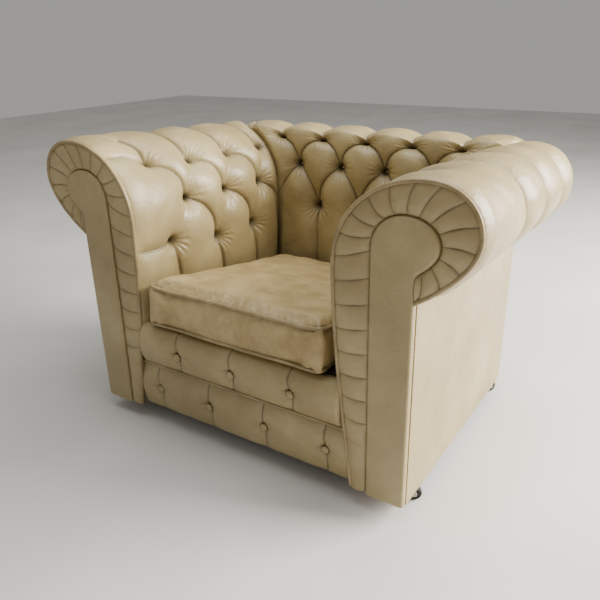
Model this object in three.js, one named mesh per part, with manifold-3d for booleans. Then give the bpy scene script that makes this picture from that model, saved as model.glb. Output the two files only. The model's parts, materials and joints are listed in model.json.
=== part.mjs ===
// A deep-buttoned club armchair with rolled arms and a rolled back of the same height.
// Units are millimetres, +Z is up, the chair faces -Y, and the origin is on the floor below
// the middle of the chair. Timber frame, sprung seat, upholstery solids and castors are separate
// meshes. Soft parts are plain solids of the right size and place.
import * as THREE from "three";
import { mergeVertices } from "three/addons/utils/BufferGeometryUtils.js";
import Module from "manifold-3d";

const wasm = await Module();
wasm.setup();

// ---- driving dimensions ----
const GAP = 0.3; // air left between touching pieces
const BASE_WIDTH = 880; // over the outside arm panels
const BASE_DEPTH = 669; // arm front to outside back panel
const CORNER_R = 40; // plan radius of the back corners at panel height

const CASTOR = {
  sideInset: 26, // swivel axis in from the outside panel
  endInset: 72, // swivel axis back from the arm front
  wheelR: 17.5,
  wheelWidth: 14,
  tyreClear: 1.5, // between the wheel and its fork
  trail: 16,
  plate: 34,
  plateThick: 3,
  bossR: 13,
  bossHeight: 4.5,
  forkThick: 3,
  forkTop: 3.2,
  headRoom: 4.2, // between the tyre's clearance and the fork's head
  axleR: 2.6,
  boreClear: 0.4,
};
// The rails stand on the castors, and the panels hang a little below the rails.
const PANEL_DROP = 14;
const RAIL_BOTTOM =
  2 * CASTOR.wheelR +
  CASTOR.tyreClear +
  CASTOR.headRoom +
  CASTOR.forkTop +
  CASTOR.bossHeight +
  CASTOR.plateThick +
  2 * GAP;
const BASE_Z = RAIL_BOTTOM - PANEL_DROP; // underside of the panels above the floor
const HIDE_HEM = 5; // the band and borders stop this far above the panels' edge

// The scroll section, seen from the front. u runs outwards from the outside panel, z is height.
const SCROLL = {
  footU: -124, // inside face at the bottom
  innerU: -171, // inside face at its fullest
  shoulderZ: 545, // where the inside face starts to turn over
  topU: 15,
  topZ: 722, // top of the roll
  outerU: 112, // how far the roll overhangs the side
  sideZ: 633, // height of the roll's outermost point
  neckU: 0,
  neckZ: 498, // where the roll meets the side again
  baseZ: BASE_Z + HIDE_HEM,
};
// The flat facing panel on the arm front, a keyhole shape.
const FACING = {
  footU: -87,
  innerU: -90,
  shoulderZ: 590,
  topU: -24,
  topZ: 658,
  outerU: 42,
  sideZ: 607,
  neckU: -2,
  neckZ: 552,
  baseZ: BASE_Z,
};
const FACING_PROUD = 12; // facing stands out from the arm front plane
const BAND_PROUD = 2;
const FRONT_PLY = 10; // depth behind the front plane taken by the facing and the band
const BAND_INSET = 5; // band edge inside the pad's outline, under the piping
const PIPING_R = 4;
const POST_INSET = 20; // timber scroll post inside the pad's outline
const POST_THICK = 25;
const PAD_BACK_U = -88; // back of the inside stuffing, where the frame space starts
const PAD_FOOT_Z = 232; // underside of the arm stuffing
const BACK_FOOT_Z = 205; // underside of the back stuffing
const BACK_INNER_U = -79; // inside face of the back, a thinner section than the arm's
const ROLL_FALL = 0.0525; // the arm rolls fall this much for each unit towards the back

const PANEL_THICK = 7; // outside panels: board, wadding and leather
const RAIL_THICK = 27;
const FRONT_RAIL_TOP = 230;
const RAIL_TOP = 182;
const BACK_RAIL_TOP = 158;
const TOP_RAIL = { fromU: -70, backFromU: -44, toU: 60, z: 560, thick: 24 }; // plank inside the roll
const BACK_RAIL_OUT = 20; // the back roll's plank reaches this far past the outside panels
const BLOCK = { size: 58, height: 58 };

const SEAT_SLOPE = THREE.MathUtils.degToRad(7); // the seat falls towards the back
const DECK_TOP_Z = 291; // at the front
const DECK_THICK = 44;
const DECK_SIDE_GAP = 5;
const BORDER_SEAM_Z = 178; // between the lower and the upper front border
const BORDER_THICK = 26;
const UPPER_BULGE = 12; // upper border stands forward of the front plane
const LOWER_RECESS = 3;
const CUSHION = { sideGap: 7, backGap: 18, thick: 112, corner: 45, edge: 26 };

const SPRING = { count: 5, pitch: 96, wireR: 2, waves: 7, swing: 22, sides: 6, steps: 42 };
const BUTTON = { r: 9, height: 6, stem: 1.5, spacing: 165, lowerZ: 107, upperZ: 226 };


// ---- derived places ----
const SIDE_X = BASE_WIDTH / 2;
const OVERALL_DEPTH = FACING_PROUD + BASE_DEPTH + SCROLL.outerU;
const FRONT_Y = -OVERALL_DEPTH / 2 + FACING_PROUD; // the arm front plane
const BACK_Y = FRONT_Y + BASE_DEPTH; // outer face of the outside back
const RAIL_X = SIDE_X - PANEL_THICK - GAP - RAIL_THICK; // inner face of a side rail
const FRONT_RAIL_Y = FRONT_Y + FRONT_PLY + POST_THICK + 2 * GAP;
const BACK_RAIL_Y = BACK_Y - PANEL_THICK - GAP - RAIL_THICK;
const FAR = 2000; // longer than anything on the chair
const BACK_RAIL_HALF = SIDE_X + BACK_RAIL_OUT;
const cornerX = SIDE_X - CORNER_R; // the roll turns the back corner about this point
const cornerY = BACK_Y - CORNER_R;
const rollDrop = ROLL_FALL * (cornerY - FRONT_Y); // how much lower the back's roll is
const FALL = new THREE.Matrix4().set(1, 0, 0, 0, 0, 1, 0, 0, 0, -ROLL_FALL, 1, ROLL_FALL * FRONT_Y, 0, 0, 0, 1);
const seatDrop = (y) => Math.tan(SEAT_SLOPE) * (y - FRONT_Y);

// ---- materials ----
const paint = (color, roughness, metalness = 0) =>
  new THREE.MeshStandardMaterial({ color, roughness, metalness });
const LEATHER = paint(0xa89468, 0.45);
const BEECH = paint(0xc9a778, 0.6);
const STEEL = paint(0x8a8a88, 0.35, 1);
const BROWN_PLASTIC = paint(0x4a3a2a, 0.5);
const LINING = paint(0x3a3328, 0.9);
const CAMBRIC = paint(0x1c1b1a, 0.95);

// ---- solids ----
// A three.js geometry as a manifold solid: only positions, with shared vertices merged.
function solid(geometry, matrix = new THREE.Matrix4()) {
  const flat = geometry.index ? geometry.toNonIndexed() : geometry.clone();
  const bare = new THREE.BufferGeometry();
  bare.setAttribute("position", flat.getAttribute("position"));
  bare.applyMatrix4(matrix);
  const merged = mergeVertices(bare, 1e-3);
  return new wasm.Manifold(
    new wasm.Mesh({
      numProp: 3,
      vertProperties: new Float32Array(merged.attributes.position.array),
      triVerts: new Uint32Array(merged.index.array),
    }),
  );
}

function geometryOf(manifold) {
  const mesh = manifold.getMesh();
  const count = mesh.vertProperties.length / mesh.numProp;
  const positions = new Float32Array(count * 3);
  for (let i = 0; i < count; i++) {
    for (let k = 0; k < 3; k++) positions[3 * i + k] = mesh.vertProperties[i * mesh.numProp + k];
  }
  const geometry = new THREE.BufferGeometry();
  geometry.setAttribute("position", new THREE.BufferAttribute(positions, 3));
  geometry.setIndex(new THREE.BufferAttribute(new Uint32Array(mesh.triVerts), 1));
  geometry.computeVertexNormals();
  return geometry;
}

function boxGeometry([x0, y0, z0], [x1, y1, z1]) {
  const geometry = new THREE.BoxGeometry(x1 - x0, y1 - y0, z1 - z0);
  geometry.translate((x0 + x1) / 2, (y0 + y1) / 2, (z0 + z1) / 2);
  return geometry;
}
const box = (low, high) => solid(boxGeometry(low, high));
const fallingBox = (low, high) => solid(boxGeometry(low, high), FALL);

const chair = new THREE.Group();
function add(name, geometry, material, parent = chair) {
  const mesh = new THREE.Mesh(geometry, material);
  mesh.name = name;
  parent.add(mesh);
  return mesh;
}

// ---- the scroll section ----
// Traces the scroll from the bottom of its inside face, over the top, to the neck.
function traceScroll(path, s) {
  const bow = 0.58; // handle length of the quarter turns, slightly fuller than a circle
  path.moveTo(s.footU, s.baseZ);
  const legHeight = s.shoulderZ - s.baseZ;
  path.bezierCurveTo(
    s.footU + (s.innerU - s.footU) * 0.6,
    s.baseZ + legHeight * 0.43,
    s.innerU,
    s.shoulderZ - legHeight * 0.29,
    s.innerU,
    s.shoulderZ,
  );
  path.bezierCurveTo(
    s.innerU,
    s.shoulderZ + (s.topZ - s.shoulderZ) * bow,
    s.topU - (s.topU - s.innerU) * bow,
    s.topZ,
    s.topU,
    s.topZ,
  );
  path.bezierCurveTo(
    s.topU + (s.outerU - s.topU) * bow,
    s.topZ,
    s.outerU,
    s.sideZ + (s.topZ - s.sideZ) * bow,
    s.outerU,
    s.sideZ,
  );
  const under = s.sideZ - s.neckZ;
  path.bezierCurveTo(
    s.outerU,
    s.sideZ - under * 0.35,
    s.neckU + (s.outerU - s.neckU) * 0.54,
    s.neckZ + under * 0.28,
    s.neckU,
    s.neckZ,
  );
}

// The same scroll, smaller by an inset all round; outer is the inset along the straight leg.
function insetScroll(s, by, outer = by) {
  return {
    ...s,
    footU: s.footU + by,
    innerU: s.innerU + by,
    topZ: s.topZ - by,
    outerU: s.outerU - by,
    neckU: s.neckU - outer,
    neckZ: s.neckZ + by * 1.2,
    baseZ: s.baseZ,
  };
}

// Full front plate: the scroll and its straight leg.
function plateShape(s) {
  const shape = new THREE.Shape();
  traceScroll(shape, s);
  shape.lineTo(s.neckU, s.baseZ);
  shape.closePath();
  return shape;
}

// Stuffing: the roll, and the slab of the inside face hanging from it.
function padShape(s) {
  const shape = new THREE.Shape();
  traceScroll(shape, s);
  shape.lineTo(PAD_BACK_U, s.neckZ);
  shape.lineTo(PAD_BACK_U, s.baseZ);
  shape.closePath();
  return shape;
}

// Extrudes a (u, z) shape along +Y for the arm on the +X side.
function alongArm(shape, fromY, toY, falling = false, curveSegments = 12) {
  const geometry = new THREE.ExtrudeGeometry(shape, {
    depth: toY - fromY,
    bevelEnabled: false,
    curveSegments,
  });
  // Shape x becomes world x, shape y becomes world z, and the extrusion runs along +y.
  const turn = new THREE.Matrix4().makeRotationX(Math.PI / 2);
  const place = new THREE.Matrix4().makeTranslation(SIDE_X, toY, 0).multiply(turn);
  return solid(geometry, falling ? place.premultiply(FALL) : place);
}

// The roll turned round the back corner, as a full ring to be cut.
function cornerRing() {
  const points = padShape(SCROLL).getPoints(12);
  const ring = points.map((p) => new THREE.Vector2(Math.max(CORNER_R + p.x, 0), p.y));
  const first = ring.findIndex((p) => p.x > 0);
  const kept = ring.filter((p) => p.x > 0);
  const profile = [new THREE.Vector2(0, kept[0].y), ...kept];
  profile.push(new THREE.Vector2(0, kept[kept.length - 1].y));
  if (first < 0) throw new Error("the corner radius leaves no roll to turn");
  const lathe = new THREE.LatheGeometry(profile.reverse(), 40);
  const upright = new THREE.Matrix4().makeRotationX(Math.PI / 2);
  const place = new THREE.Matrix4().makeTranslation(cornerX, cornerY, -rollDrop);
  const ringSolid = solid(lathe, place.multiply(upright));
  return ringSolid.volume() < 0 ? solid(lathe.scale(-1, 1, 1), place) : ringSolid;
}

// Where the arm and the back meet, seen from above: a straight joint from the inside corner to
// the corner point, then a 45 degree mitre through the turned roll. The arm keeps what is in
// front of the joint and the back what is behind it.
const innerRatio = (CORNER_R + BACK_INNER_U) / (CORNER_R + SCROLL.innerU);
function jointSide(armSide) {
  const shift = armSide ? -GAP : GAP;
  const shape = new THREE.Shape();
  const reach = cornerX; // as far as the middle of the chair
  shape.moveTo(cornerX - reach, cornerY + shift - reach * innerRatio);
  shape.lineTo(cornerX, cornerY + shift);
  shape.lineTo(cornerX + FAR / 2, cornerY + shift + FAR / 2);
  const farY = armSide ? -FAR : FAR;
  shape.lineTo(cornerX + FAR / 2, farY);
  shape.lineTo(cornerX - reach, farY);
  shape.closePath();
  const prism = new THREE.ExtrudeGeometry(shape, { depth: 2 * FAR, bevelEnabled: false });
  return solid(prism.translate(0, 0, -FAR));
}

// ---- upholstery ----
const above = (z) => box([-FAR, -FAR, z], [FAR, FAR, FAR]);

function armPad() {
  const straight = alongArm(padShape(SCROLL), FRONT_Y + 1.5, cornerY, true);
  const turn = cornerRing().intersect(box([cornerX, cornerY, -FAR], [FAR, FAR, FAR]));
  const front = alongArm(
    plateShape(insetScroll(SCROLL, BAND_INSET - GAP, 0)),
    FRONT_Y - 50,
    FRONT_Y + FRONT_PLY + GAP,
  );
  const post = alongArm(
    plateShape(insetScroll(SCROLL, POST_INSET - GAP, 0)),
    FRONT_Y + FRONT_PLY,
    FRONT_Y + FRONT_PLY + POST_THICK + 2 * GAP,
  );
  return straight
    .add(turn)
    .intersect(jointSide(true))
    .intersect(above(PAD_FOOT_Z))
    .subtract(front)
    .subtract(post)
    .subtract(topRailSpace());
}

// Room for the planks inside the arm and back rolls.
function topRailSpace() {
  const { fromU, backFromU, toU, z, thick } = TOP_RAIL;
  const arm = fallingBox(
    [SIDE_X + fromU - GAP, FRONT_Y, z - GAP],
    [SIDE_X + toU + GAP, BACK_Y + backFromU, z + thick + GAP],
  );
  const back = box(
    [-BACK_RAIL_HALF - GAP, BACK_Y + backFromU - 2 * GAP, z - rollDrop - GAP],
    [BACK_RAIL_HALF + GAP, BACK_Y + toU + GAP, z - rollDrop + thick + GAP],
  );
  return arm.add(back);
}

// The back's section is the arm's, lowered, with its inside squeezed towards the outside back.
function backShape() {
  const squeeze = (u) => (u < -CORNER_R ? -CORNER_R + (u + CORNER_R) * innerRatio : u);
  const points = padShape(SCROLL)
    .getPoints(12)
    .map((p) => new THREE.Vector2(squeeze(p.x), p.y - rollDrop));
  return new THREE.Shape(points);
}

// The right half of the back's stuffing, mirrored to make the whole.
function backPad() {
  const geometry = new THREE.ExtrudeGeometry(backShape(), { depth: cornerX, bevelEnabled: false });
  // Shape x becomes world y, shape y becomes world z, and the extrusion runs along +x.
  const turn = new THREE.Matrix4().set(0, 0, 1, 0, 1, 0, 0, BACK_Y, 0, 1, 0, 0, 0, 0, 0, 1);
  const straight = solid(geometry, turn);
  const corner = cornerRing().intersect(box([cornerX, cornerY, -FAR], [FAR, FAR, FAR]));
  const half = straight
    .add(corner)
    .intersect(jointSide(false))
    .intersect(above(BACK_FOOT_Z))
    .subtract(topRailSpace());
  return half.add(half.mirror([1, 0, 0]));
}

function plate(s, fromY, toY) {
  return alongArm(plateShape(s), fromY, toY);
}

function armBand() {
  const ring = plate(
    insetScroll(SCROLL, BAND_INSET, 0),
    FRONT_Y - BAND_PROUD,
    FRONT_Y + FRONT_PLY,
  );
  const hole = plate(insetScroll(FACING, -GAP, -FACING_PROUD), FRONT_Y - 50, FRONT_Y + 50);
  const leg = box([SIDE_X + FACING.footU, -FAR, -FAR], [FAR, FRONT_Y + 50, FACING.neckZ - 53]);
  return ring.subtract(hole).subtract(leg);
}

function armPiping() {
  const shape = new THREE.Shape();
  traceScroll(shape, SCROLL);
  const points = shape
    .getSpacedPoints(46)
    .slice(0, -1) // stops short of the neck, clear of the facing
    .map((p) => new THREE.Vector3(SIDE_X + p.x, FRONT_Y - PIPING_R + 1, p.y));
  const section = new THREE.Shape();
  section.absarc(0, 0, PIPING_R, 0, Math.PI * 2);
  return new THREE.ExtrudeGeometry(section, {
    steps: 46,
    curveSegments: 3,
    extrudePath: new THREE.CatmullRomCurve3(points),
  });
}

// ---- build one arm and mirror it ----
const sides = [
  ["right", 1],
  ["left", -1],
];
const pieces = {
  arm_pad: [armPad(), LEATHER],
  arm_facing: [
    plate(FACING, FRONT_Y - FACING_PROUD, FRONT_Y + FRONT_PLY),
    LEATHER,
  ],
  arm_band: [armBand(), LEATHER],
  arm_piping: [solid(armPiping()), LEATHER],
  outside_arm: [
    box(
      [SIDE_X - PANEL_THICK, FRONT_Y + FRONT_PLY + GAP, BASE_Z],
      [SIDE_X, cornerY - GAP, SCROLL.neckZ + FAR],
    ).intersect(
      fallingBox([-FAR, -FAR, -FAR], [FAR, FAR, SCROLL.neckZ - GAP - 1]),
    ),
    LEATHER,
  ],
  arm_post: [
    alongArm(
      plateShape({
        ...insetScroll(SCROLL, POST_INSET, PANEL_THICK + GAP),
        baseZ: RAIL_BOTTOM,
      }),
      FRONT_Y + FRONT_PLY + GAP,
      FRONT_Y + FRONT_PLY + POST_THICK + GAP,
    ),
    BEECH,
  ],
  arm_top_rail: [
    fallingBox(
      [SIDE_X + TOP_RAIL.fromU, FRONT_RAIL_Y, TOP_RAIL.z],
      [SIDE_X + TOP_RAIL.toU, BACK_Y + TOP_RAIL.backFromU - 2 * GAP, TOP_RAIL.z + TOP_RAIL.thick],
    ),
    BEECH,
  ],
  side_rail: [
    box(
      [RAIL_X, FRONT_RAIL_Y + RAIL_THICK + GAP, RAIL_BOTTOM],
      [RAIL_X + RAIL_THICK, BACK_RAIL_Y - GAP, RAIL_TOP],
    ).subtract(
      // eased where the outside back starts to turn the corner
      box(
        [RAIL_X + RAIL_THICK - 1.5, BACK_Y - CORNER_R - GAP, -FAR],
        [FAR, FAR, FAR],
      ),
    ),
    BEECH,
  ],
  back_post: [
    box(
      [SIDE_X + PAD_BACK_U + GAP, BACK_RAIL_Y, RAIL_BOTTOM],
      [SIDE_X - PANEL_THICK - GAP, BACK_RAIL_Y + RAIL_THICK, SCROLL.neckZ - rollDrop - GAP],
    ).intersect(
      // stays inside the rounded corner of the outside back
      solid(new THREE.CylinderGeometry(CORNER_R - PANEL_THICK - GAP, CORNER_R - PANEL_THICK - GAP, FAR, 40)
        .rotateX(Math.PI / 2)
        .translate(SIDE_X - CORNER_R, BACK_Y - CORNER_R, 0))
        .add(box([-FAR, -FAR, -FAR], [SIDE_X - CORNER_R, FAR, FAR]))
        .add(box([-FAR, -FAR, -FAR], [FAR, BACK_Y - CORNER_R, FAR])),
    ),
    BEECH,
  ],
};
for (const [side, sign] of sides) {
  for (const [name, [body, material]] of Object.entries(pieces)) {
    add(`${name}_${side}`, geometryOf(sign > 0 ? body : body.mirror([1, 0, 0])), material);
  }
}

add("back_pad", geometryOf(backPad()), LEATHER);

// ---- outside back: a panel bent round both back corners ----
function outsideBack() {
  const outline = new THREE.Shape();
  const outer = SIDE_X;
  const arcX = SIDE_X - CORNER_R;
  const arcY = BACK_Y - CORNER_R;
  outline.moveTo(outer, arcY);
  outline.absarc(arcX, arcY, CORNER_R, 0, Math.PI / 2, false);
  outline.absarc(-arcX, arcY, CORNER_R, Math.PI / 2, Math.PI, false);
  outline.lineTo(-outer + PANEL_THICK, arcY);
  outline.absarc(-arcX, arcY, CORNER_R - PANEL_THICK, Math.PI, Math.PI / 2, true);
  outline.absarc(arcX, arcY, CORNER_R - PANEL_THICK, Math.PI / 2, 0, true);
  outline.closePath();
  const geometry = new THREE.ExtrudeGeometry(outline, {
    depth: SCROLL.neckZ - rollDrop - GAP - 1 - BASE_Z,
    bevelEnabled: false,
    curveSegments: 6,
  });
  geometry.translate(0, 0, BASE_Z);
  return geometry;
}
add("outside_back", outsideBack(), LEATHER);

// ---- frame rails ----
const innerPost = SIDE_X + PAD_BACK_U; // inner side of a back post
add(
  "front_rail",
  boxGeometry(
    [-RAIL_X - RAIL_THICK, FRONT_RAIL_Y, RAIL_BOTTOM],
    [RAIL_X + RAIL_THICK, FRONT_RAIL_Y + RAIL_THICK, FRONT_RAIL_TOP],
  ),
  BEECH,
);
add(
  "back_rail",
  boxGeometry(
    [-innerPost, BACK_RAIL_Y, RAIL_BOTTOM],
    [innerPost, BACK_RAIL_Y + RAIL_THICK, BACK_RAIL_TOP],
  ),
  BEECH,
);
add(
  "back_top_rail",
  boxGeometry(
    [-BACK_RAIL_HALF, BACK_Y + TOP_RAIL.backFromU - GAP, TOP_RAIL.z - rollDrop],
    [BACK_RAIL_HALF, BACK_Y + TOP_RAIL.toU, TOP_RAIL.z - rollDrop + TOP_RAIL.thick],
  ),
  BEECH,
);

// ---- seat: springs, deck, borders, cushion ----
function seatSprings() {
  const frontY = FRONT_RAIL_Y + RAIL_THICK / 2;
  const backY = BACK_RAIL_Y + RAIL_THICK / 2;
  const topZ = (y) => DECK_TOP_Z - DECK_THICK - GAP - SPRING.wireR - seatDrop(y);
  for (let i = 0; i < SPRING.count; i++) {
    const middle = (i - (SPRING.count - 1) / 2) * SPRING.pitch;
    const points = [];
    for (let k = 0; k <= SPRING.steps; k++) {
      const t = k / SPRING.steps;
      const y = frontY + (backY - frontY) * t;
      const sway = SPRING.swing * Math.sin(t * SPRING.waves * 2 * Math.PI);
      points.push(new THREE.Vector3(middle + sway, y, topZ(y)));
    }
    const section = new THREE.Shape();
    section.absarc(0, 0, SPRING.wireR, 0, Math.PI * 2);
    const wire = new THREE.ExtrudeGeometry(section, {
      steps: SPRING.steps,
      curveSegments: SPRING.sides / 2,
      extrudePath: new THREE.CatmullRomCurve3(points),
    });
    add(`seat_spring_${i + 1}`, wire, STEEL);
  }
}
seatSprings();

// A box that follows the seat's slope: its top is at the deck height plus lift.
function slopedBlock(halfWidth, fromY, toY, top, thick) {
  const low = [-halfWidth, fromY, top - thick - seatDrop(fromY)];
  const shape = new THREE.Shape();
  shape.moveTo(fromY, low[2]);
  shape.lineTo(toY, top - thick - seatDrop(toY));
  shape.lineTo(toY, top - seatDrop(toY));
  shape.lineTo(fromY, top - seatDrop(fromY));
  shape.closePath();
  const geometry = new THREE.ExtrudeGeometry(shape, { depth: 2 * halfWidth, bevelEnabled: false });
  const turn = new THREE.Matrix4().set(0, 0, 1, -halfWidth, 1, 0, 0, 0, 0, 1, 0, 0, 0, 0, 0, 1);
  return geometry.applyMatrix4(turn);
}
const deckHalf = SIDE_X + SCROLL.innerU - DECK_SIDE_GAP;
const backPadFrontY = BACK_Y + BACK_INNER_U;
const deckFrontY = FRONT_Y + BORDER_THICK + LOWER_RECESS;
add(
  "seat_deck",
  slopedBlock(deckHalf, deckFrontY, backPadFrontY - DECK_SIDE_GAP, DECK_TOP_Z, DECK_THICK),
  LINING,
);

// Inside face of the arm at height z, from the same curve as the scroll.
function innerFaceX(z) {
  const path = new THREE.Path();
  traceScroll(path, SCROLL);
  const points = path.curves[0].getPoints(60);
  const hit = points.find((p) => p.y >= z) ?? points[points.length - 1];
  return SIDE_X + hit.x;
}

// A front border: a padded strip between the arms, tapering with their inside faces.
function border(bottomZ, topZ, frontY) {
  const clear = PIPING_R + 2; // the arm piping runs up both ends
  const bottomHalf = innerFaceX(bottomZ) - clear;
  const topHalf = innerFaceX(topZ) - clear;
  const shape = new THREE.Shape();
  shape.moveTo(-bottomHalf, bottomZ);
  shape.lineTo(bottomHalf, bottomZ);
  shape.lineTo(topHalf, topZ);
  shape.lineTo(-topHalf, topZ);
  shape.closePath();
  const geometry = new THREE.ExtrudeGeometry(shape, { depth: BORDER_THICK, bevelEnabled: false });
  const turn = new THREE.Matrix4().makeRotationX(Math.PI / 2);
  const place = new THREE.Matrix4().makeTranslation(0, frontY + BORDER_THICK, 0);
  return geometry.applyMatrix4(place.multiply(turn));
}
const lowerFaceY = FRONT_Y + LOWER_RECESS;
const upperFaceY = FRONT_Y - UPPER_BULGE + LOWER_RECESS;
add("front_border", border(BASE_Z + HIDE_HEM, BORDER_SEAM_Z - GAP, lowerFaceY), LEATHER);
add("seat_border", border(BORDER_SEAM_Z, DECK_TOP_Z - DECK_SIDE_GAP, upperFaceY), LEATHER);

// The loose cushion lies on the deck, so it is tipped back by the seat's slope.
const cushionWidth = 2 * (SIDE_X + SCROLL.innerU - CUSHION.sideGap);
const cushionDepth = backPadFrontY - (FRONT_Y - UPPER_BULGE) - CUSHION.backGap;
function cushion() {
  const { thick, corner, edge } = CUSHION;
  const w = cushionWidth / 2 - edge;
  const d = cushionDepth / 2 - edge;
  const r = corner - edge;
  const shape = new THREE.Shape();
  shape.absarc(w - r, d - r, r, 0, Math.PI / 2);
  shape.absarc(-w + r, d - r, r, Math.PI / 2, Math.PI);
  shape.absarc(-w + r, -d + r, r, Math.PI, Math.PI * 1.5);
  shape.absarc(w - r, -d + r, r, Math.PI * 1.5, Math.PI * 2);
  return new THREE.ExtrudeGeometry(shape, {
    depth: thick - 2 * edge,
    bevelThickness: edge,
    bevelSize: edge,
    bevelSegments: 3,
    curveSegments: 3,
  }).translate(0, 0, edge);
}
const cushionPivot = new THREE.Group();
cushionPivot.position.set(0, FRONT_Y - UPPER_BULGE, DECK_TOP_Z + seatDrop(FRONT_Y + UPPER_BULGE) + 2);
cushionPivot.rotation.x = -SEAT_SLOPE;
chair.add(cushionPivot);
add("seat_cushion", cushion(), LEATHER, cushionPivot).position.set(0, cushionDepth / 2, 0);

// ---- border buttons ----
function buttonGeometry() {
  const { r, height, stem } = BUTTON;
  const profile = [new THREE.Vector2(0, 0), new THREE.Vector2(r, 0), new THREE.Vector2(r, stem)];
  for (let k = 1; k <= 4; k++) {
    const a = (k / 4) * (Math.PI / 2);
    profile.push(new THREE.Vector2(r * Math.cos(a), stem + (height - stem) * Math.sin(a)));
  }
  profile[profile.length - 1].x = 0;
  return new THREE.LatheGeometry(profile, 14); // its dome points along +y
}
function borderButtons(row, count, z, faceY) {
  for (let i = 0; i < count; i++) {
    const x = (i - (count - 1) / 2) * BUTTON.spacing;
    const button = add(`${row}_button_${i + 1}`, buttonGeometry(), LEATHER);
    button.rotation.x = Math.PI; // the dome faces -y
    button.position.set(x, faceY - GAP, z);
  }
}
borderButtons("lower", 4, BUTTON.lowerZ, lowerFaceY);
borderButtons("upper", 3, BUTTON.upperZ, upperFaceY);

// ---- corner blocks, dust cover and castors ----
const corners = [
  ["front_right", 1, -1, 30],
  ["front_left", -1, -1, 140],
  ["back_right", 1, 1, 55],
  ["back_left", -1, 1, 100],
];
const blockX = RAIL_X - GAP;
function cornerBlock(sx, sy) {
  const edgeY = sy < 0 ? FRONT_RAIL_Y + RAIL_THICK + GAP : BACK_RAIL_Y - GAP;
  const otherY = edgeY - sy * BLOCK.size;
  const xs = [sx * blockX, sx * (blockX - BLOCK.size)].sort((a, b) => a - b);
  const ys = [edgeY, otherY].sort((a, b) => a - b);
  return boxGeometry(
    [xs[0], ys[0], RAIL_BOTTOM],
    [xs[1], ys[1], RAIL_BOTTOM + BLOCK.height],
  );
}

function dustCover() {
  const halfX = RAIL_X + RAIL_THICK - 4;
  const frontY = FRONT_RAIL_Y + 4;
  const backY = BACK_RAIL_Y + RAIL_THICK - 4;
  // square notches at the corners leave the castor plates bare
  const notchX = SIDE_X - CASTOR.sideInset - CASTOR.plate / 2 - 3;
  const notchFront = FRONT_Y + CASTOR.endInset + CASTOR.plate / 2 + 3;
  const notchBack = BACK_Y - CASTOR.endInset - CASTOR.plate / 2 - 3;
  const shape = new THREE.Shape();
  shape.moveTo(-notchX, frontY);
  shape.lineTo(notchX, frontY);
  shape.lineTo(notchX, notchFront);
  shape.lineTo(halfX, notchFront);
  shape.lineTo(halfX, notchBack);
  shape.lineTo(notchX, notchBack);
  shape.lineTo(notchX, backY);
  shape.lineTo(-notchX, backY);
  shape.lineTo(-notchX, notchBack);
  shape.lineTo(-halfX, notchBack);
  shape.lineTo(-halfX, notchFront);
  shape.lineTo(-notchX, notchFront);
  shape.closePath();
  const geometry = new THREE.ExtrudeGeometry(shape, { depth: 1.2, bevelEnabled: false });
  return geometry.translate(0, 0, RAIL_BOTTOM - 1.2 - GAP);
}
add("dust_cover", dustCover(), CAMBRIC);

const plateBottom = RAIL_BOTTOM - GAP - CASTOR.plateThick;
const forkTopZ = plateBottom - CASTOR.bossHeight - GAP;

function castorPlate() {
  const { plate: side, bossR, bossHeight } = CASTOR;
  const flange = box([-side / 2, -side / 2, plateBottom], [side / 2, side / 2, RAIL_BOTTOM - GAP]);
  const boss = new THREE.CylinderGeometry(bossR, bossR, bossHeight + 1, 24);
  boss.rotateX(Math.PI / 2).translate(0, 0, plateBottom - bossHeight / 2 + 0.5);
  return geometryOf(flange.add(solid(boss)));
}

// A bent steel fork: a round head under the plate and two cheeks slanting to the axle.
function castorFork() {
  const { bossR, forkThick, forkTop, trail, wheelR, wheelWidth, tyreClear, axleR, boreClear } =
    CASTOR;
  const inner = wheelWidth / 2 + 0.8;
  const head = new THREE.CylinderGeometry(bossR, bossR, forkTop, 24);
  head.rotateX(Math.PI / 2).translate(0, 0, forkTopZ - forkTop / 2);
  const cheek = new THREE.Shape();
  cheek.moveTo(-7, forkTopZ);
  cheek.lineTo(10, forkTopZ);
  cheek.lineTo(trail + 5.5, wheelR + 3);
  cheek.lineTo(trail + 5.5, wheelR - 4);
  cheek.lineTo(trail - 5.5, wheelR - 4);
  cheek.lineTo(-7, forkTopZ - forkTop - 3);
  cheek.closePath();
  const sheet = new THREE.ExtrudeGeometry(cheek, { depth: forkThick, bevelEnabled: false });
  const stand = new THREE.Matrix4().makeRotationX(Math.PI / 2);
  let fork = solid(head);
  for (const y of [inner + forkThick, -inner]) {
    fork = fork.add(solid(sheet, new THREE.Matrix4().makeTranslation(0, y, 0).multiply(stand)));
  }
  const bore = new THREE.CylinderGeometry(axleR + boreClear, axleR + boreClear, 60, 16);
  bore.translate(trail, 0, wheelR);
  const tyre = new THREE.CylinderGeometry(wheelR + tyreClear, wheelR + tyreClear, 2 * inner, 40);
  tyre.translate(trail, 0, wheelR);
  return geometryOf(fork.subtract(solid(bore)).subtract(solid(tyre)));
}

function castorWheel() {
  const { wheelR, wheelWidth, axleR, boreClear } = CASTOR;
  const half = wheelWidth / 2;
  const bore = axleR + boreClear;
  const round = 3;
  const profile = [
    [bore, -half],
    [7, -half],
    [8, -half + 2],
    [wheelR - 5, -half + 2],
    [wheelR - round, -half],
    [wheelR, -half + round],
    [wheelR, half - round],
    [wheelR - round, half],
    [wheelR - 5, half - 2],
    [8, half - 2],
    [7, half],
    [bore, half],
    [bore, -half],
  ];
  return new THREE.LatheGeometry(profile.map(([x, y]) => new THREE.Vector2(x, y)), 24);
}

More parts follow.
